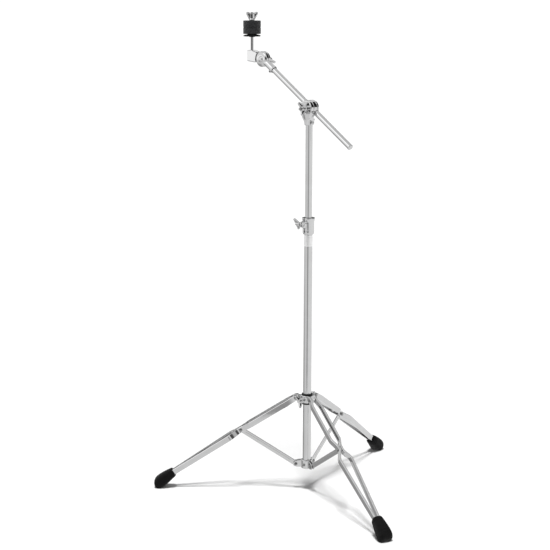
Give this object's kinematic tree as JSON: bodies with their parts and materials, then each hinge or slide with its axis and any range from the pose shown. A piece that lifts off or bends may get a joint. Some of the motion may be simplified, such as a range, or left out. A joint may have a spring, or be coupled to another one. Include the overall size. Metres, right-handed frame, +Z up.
{
  "type": "cymbal boom stand",
  "caption": "Chromed folding tripod stand with a two-stage mast, a short tilting boom and a felt-padded rod that holds a cymbal.",
  "frame": {"origin": "on the floor, at the middle of the stand's footprint box", "axes": "+Z up the mast; the leg nearest the boom's cymbal end points along -X"},
  "size_m": [0.5441, 0.6256, 1.0891],
  "materials": {
    "chrome": "polished",
    "plated_steel": "satin",
    "black_plastic": "satin",
    "rubber": "matte",
    "felt": "matte"
  },
  "bodies": {
    "collar": {"leg_collar": "chrome", "leg_collar_bushing": "black_plastic"},
    "leg_collar_screw": {"leg_collar_wing_screw": "chrome"},
    "leg_1": {"leg_1_rail_left": "chrome", "leg_1_rail_right": "chrome", "leg_1_pinch_rivet": "plated_steel", "leg_1_foot": "rubber", "leg_1_pivot_rivet": "plated_steel"},
    "leg_2": {"leg_2_rail_left": "chrome", "leg_2_rail_right": "chrome", "leg_2_pinch_rivet": "plated_steel", "leg_2_foot": "rubber", "leg_2_pivot_rivet": "plated_steel"},
    "leg_3": {"leg_3_rail_left": "chrome", "leg_3_rail_right": "chrome", "leg_3_pinch_rivet": "plated_steel", "leg_3_foot": "rubber", "leg_3_pivot_rivet": "plated_steel"},
    "brace_1_arm": {"brace_1": "chrome"},
    "brace_2_arm": {"brace_2": "chrome"},
    "brace_3_arm": {"brace_3": "chrome"},
    "mast": {"base_tube": "chrome", "base_tube_plug": "black_plastic", "lower_collar": "chrome", "height_clamp": "chrome", "height_bushing": "black_plastic", "height_clamp_bolt": "plated_steel", "brace_1_rivet": "plated_steel", "brace_2_rivet": "plated_steel", "brace_3_rivet": "plated_steel", "collar_tube_rivet_1": "plated_steel", "collar_tube_rivet_2": "plated_steel", "collar_tube_rivet_3": "plated_steel"},
    "height_nut": {"height_wing_nut": "chrome"},
    "tube_guide": {"middle_tube_guide": "black_plastic"},
    "upper_mast": {"middle_tube": "chrome", "boom_tilter_base": "chrome", "boom_base_key_screw": "plated_steel"},
    "boom_clamp": {"boom_saddle": "chrome", "boom_hood": "chrome", "boom_eye_bolt": "plated_steel"},
    "boom_nut": {"boom_wing_nut": "chrome"},
    "boom": {"boom_tube": "chrome", "boom_end_cap": "chrome", "tilter_socket": "chrome", "tilter_key_screw": "plated_steel", "cymbal_hinge_bolt": "plated_steel"},
    "cymbal_nut": {"cymbal_wing_nut": "chrome"},
    "cymbal_tilter": {"rod_block": "chrome", "cymbal_rod": "plated_steel", "seat_washer": "black_plastic", "rod_sleeve": "black_plastic", "lower_felt": "felt"},
    "felt_on_top": {"upper_felt": "felt"},
    "top_nut": {"top_wing_nut": "chrome"}
  },
  "joints": [
    {"name": "leg_1_fold", "type": "hinge", "parent": "collar", "child": "leg_1", "pos_m": [0.058, 0, 0.2238], "axis": [0, -1, 0], "range_deg": [0, 52.8]},
    {"name": "leg_2_fold", "type": "hinge", "parent": "collar", "child": "leg_2", "pos_m": [0.0955, -0.02165, 0.2238], "axis": [0.866, 0.5, 0], "range_deg": [0, 52.8]},
    {"name": "leg_3_fold", "type": "hinge", "parent": "collar", "child": "leg_3", "pos_m": [0.0955, 0.02165, 0.2238], "axis": [-0.866, 0.5, 0], "range_deg": [0, 52.8]},
    {"name": "brace_1_fold", "type": "hinge", "parent": "leg_1", "child": "brace_1_arm", "pos_m": [-0.0695, 0, 0.1435], "axis": [0, 1, 0], "range_deg": [0, 105.6]},
    {"name": "brace_2_fold", "type": "hinge", "parent": "leg_2", "child": "brace_2_arm", "pos_m": [0.15925, -0.13207, 0.1435], "axis": [-0.866, -0.5, 0], "range_deg": [0, 105.6]},
    {"name": "brace_3_fold", "type": "hinge", "parent": "leg_3", "child": "brace_3_arm", "pos_m": [0.15925, 0.13207, 0.1435], "axis": [0.866, -0.5, 0], "range_deg": [0, 105.6]},
    {"name": "mast_on_brace_1", "type": "hinge", "parent": "brace_1_arm", "child": "mast", "pos_m": [0.058, 0, 0.0632], "axis": [0, -1, 0], "range_deg": [0, 52.8]},
    {"name": "leg_collar_screw_turn", "type": "hinge", "parent": "collar", "child": "leg_collar_screw", "pos_m": [0.083, 0, 0.219], "axis": [-0.6157, -0.788, 0], "continuous": true},
    {"name": "height_nut_turn", "type": "hinge", "parent": "mast", "child": "height_nut", "pos_m": [0.06995, -0.01449, 0.626], "axis": [-0.7431, 0.6691, 0], "continuous": true},
    {"name": "height", "type": "slide", "parent": "mast", "child": "tube_guide", "axis": [0, 0, 1], "range_m": [-0.17, 0.25]},
    {"name": "boom_swivel", "type": "hinge", "parent": "tube_guide", "child": "upper_mast", "pos_m": [0.083, 0, 0.6], "axis": [0, 0, 1], "continuous": true},
    {"name": "boom_tilt", "type": "hinge", "parent": "upper_mast", "child": "boom_clamp", "pos_m": [0.083, 0, 0.8829], "axis": [-0.6691, -0.7431, 0], "range_deg": [-15, 75]},
    {"name": "boom_nut_turn", "type": "hinge", "parent": "boom_clamp", "child": "boom_nut", "pos_m": [0.083, 0, 0.8829], "axis": [-0.6691, -0.7431, 0], "continuous": true},
    {"name": "boom_slide", "type": "slide", "parent": "boom_clamp", "child": "boom", "axis": [-0.6161, 0.5547, 0.5592], "range_m": [-0.115, 0.115]},
    {"name": "cymbal_nut_turn", "type": "hinge", "parent": "boom", "child": "cymbal_nut", "pos_m": [-0.02401, 0.10577, 0.98428], "axis": [-0.6691, -0.7431, 0], "continuous": true},
    {"name": "cymbal_tilt", "type": "hinge", "parent": "boom", "child": "cymbal_tilter", "pos_m": [-0.02401, 0.10577, 0.98428], "axis": [-0.6691, -0.7431, 0], "range_deg": [-60, 75]},
    {"name": "felt_lift", "type": "slide", "parent": "cymbal_tilter", "child": "felt_on_top", "axis": [0, 0, 1], "range_m": [0, 0.005]},
    {"name": "top_nut_turn", "type": "hinge", "parent": "felt_on_top", "child": "top_nut", "pos_m": [-0.05106, 0.13013, 0.98428], "axis": [0, 0, 1], "range_deg": [0, 1440]}
  ],
  "couplings": [
    {"joint": "leg_2_fold", "follows": "leg_1_fold", "ratio": 1},
    {"joint": "leg_3_fold", "follows": "leg_1_fold", "ratio": 1},
    {"joint": "brace_1_fold", "follows": "leg_1_fold", "ratio": 2},
    {"joint": "brace_2_fold", "follows": "leg_1_fold", "ratio": 2},
    {"joint": "brace_3_fold", "follows": "leg_1_fold", "ratio": 2},
    {"joint": "mast_on_brace_1", "follows": "leg_1_fold", "ratio": 1},
    {"joint": "top_nut_turn", "follows": "felt_lift", "rad_per_m": 5026.5}
  ]
}
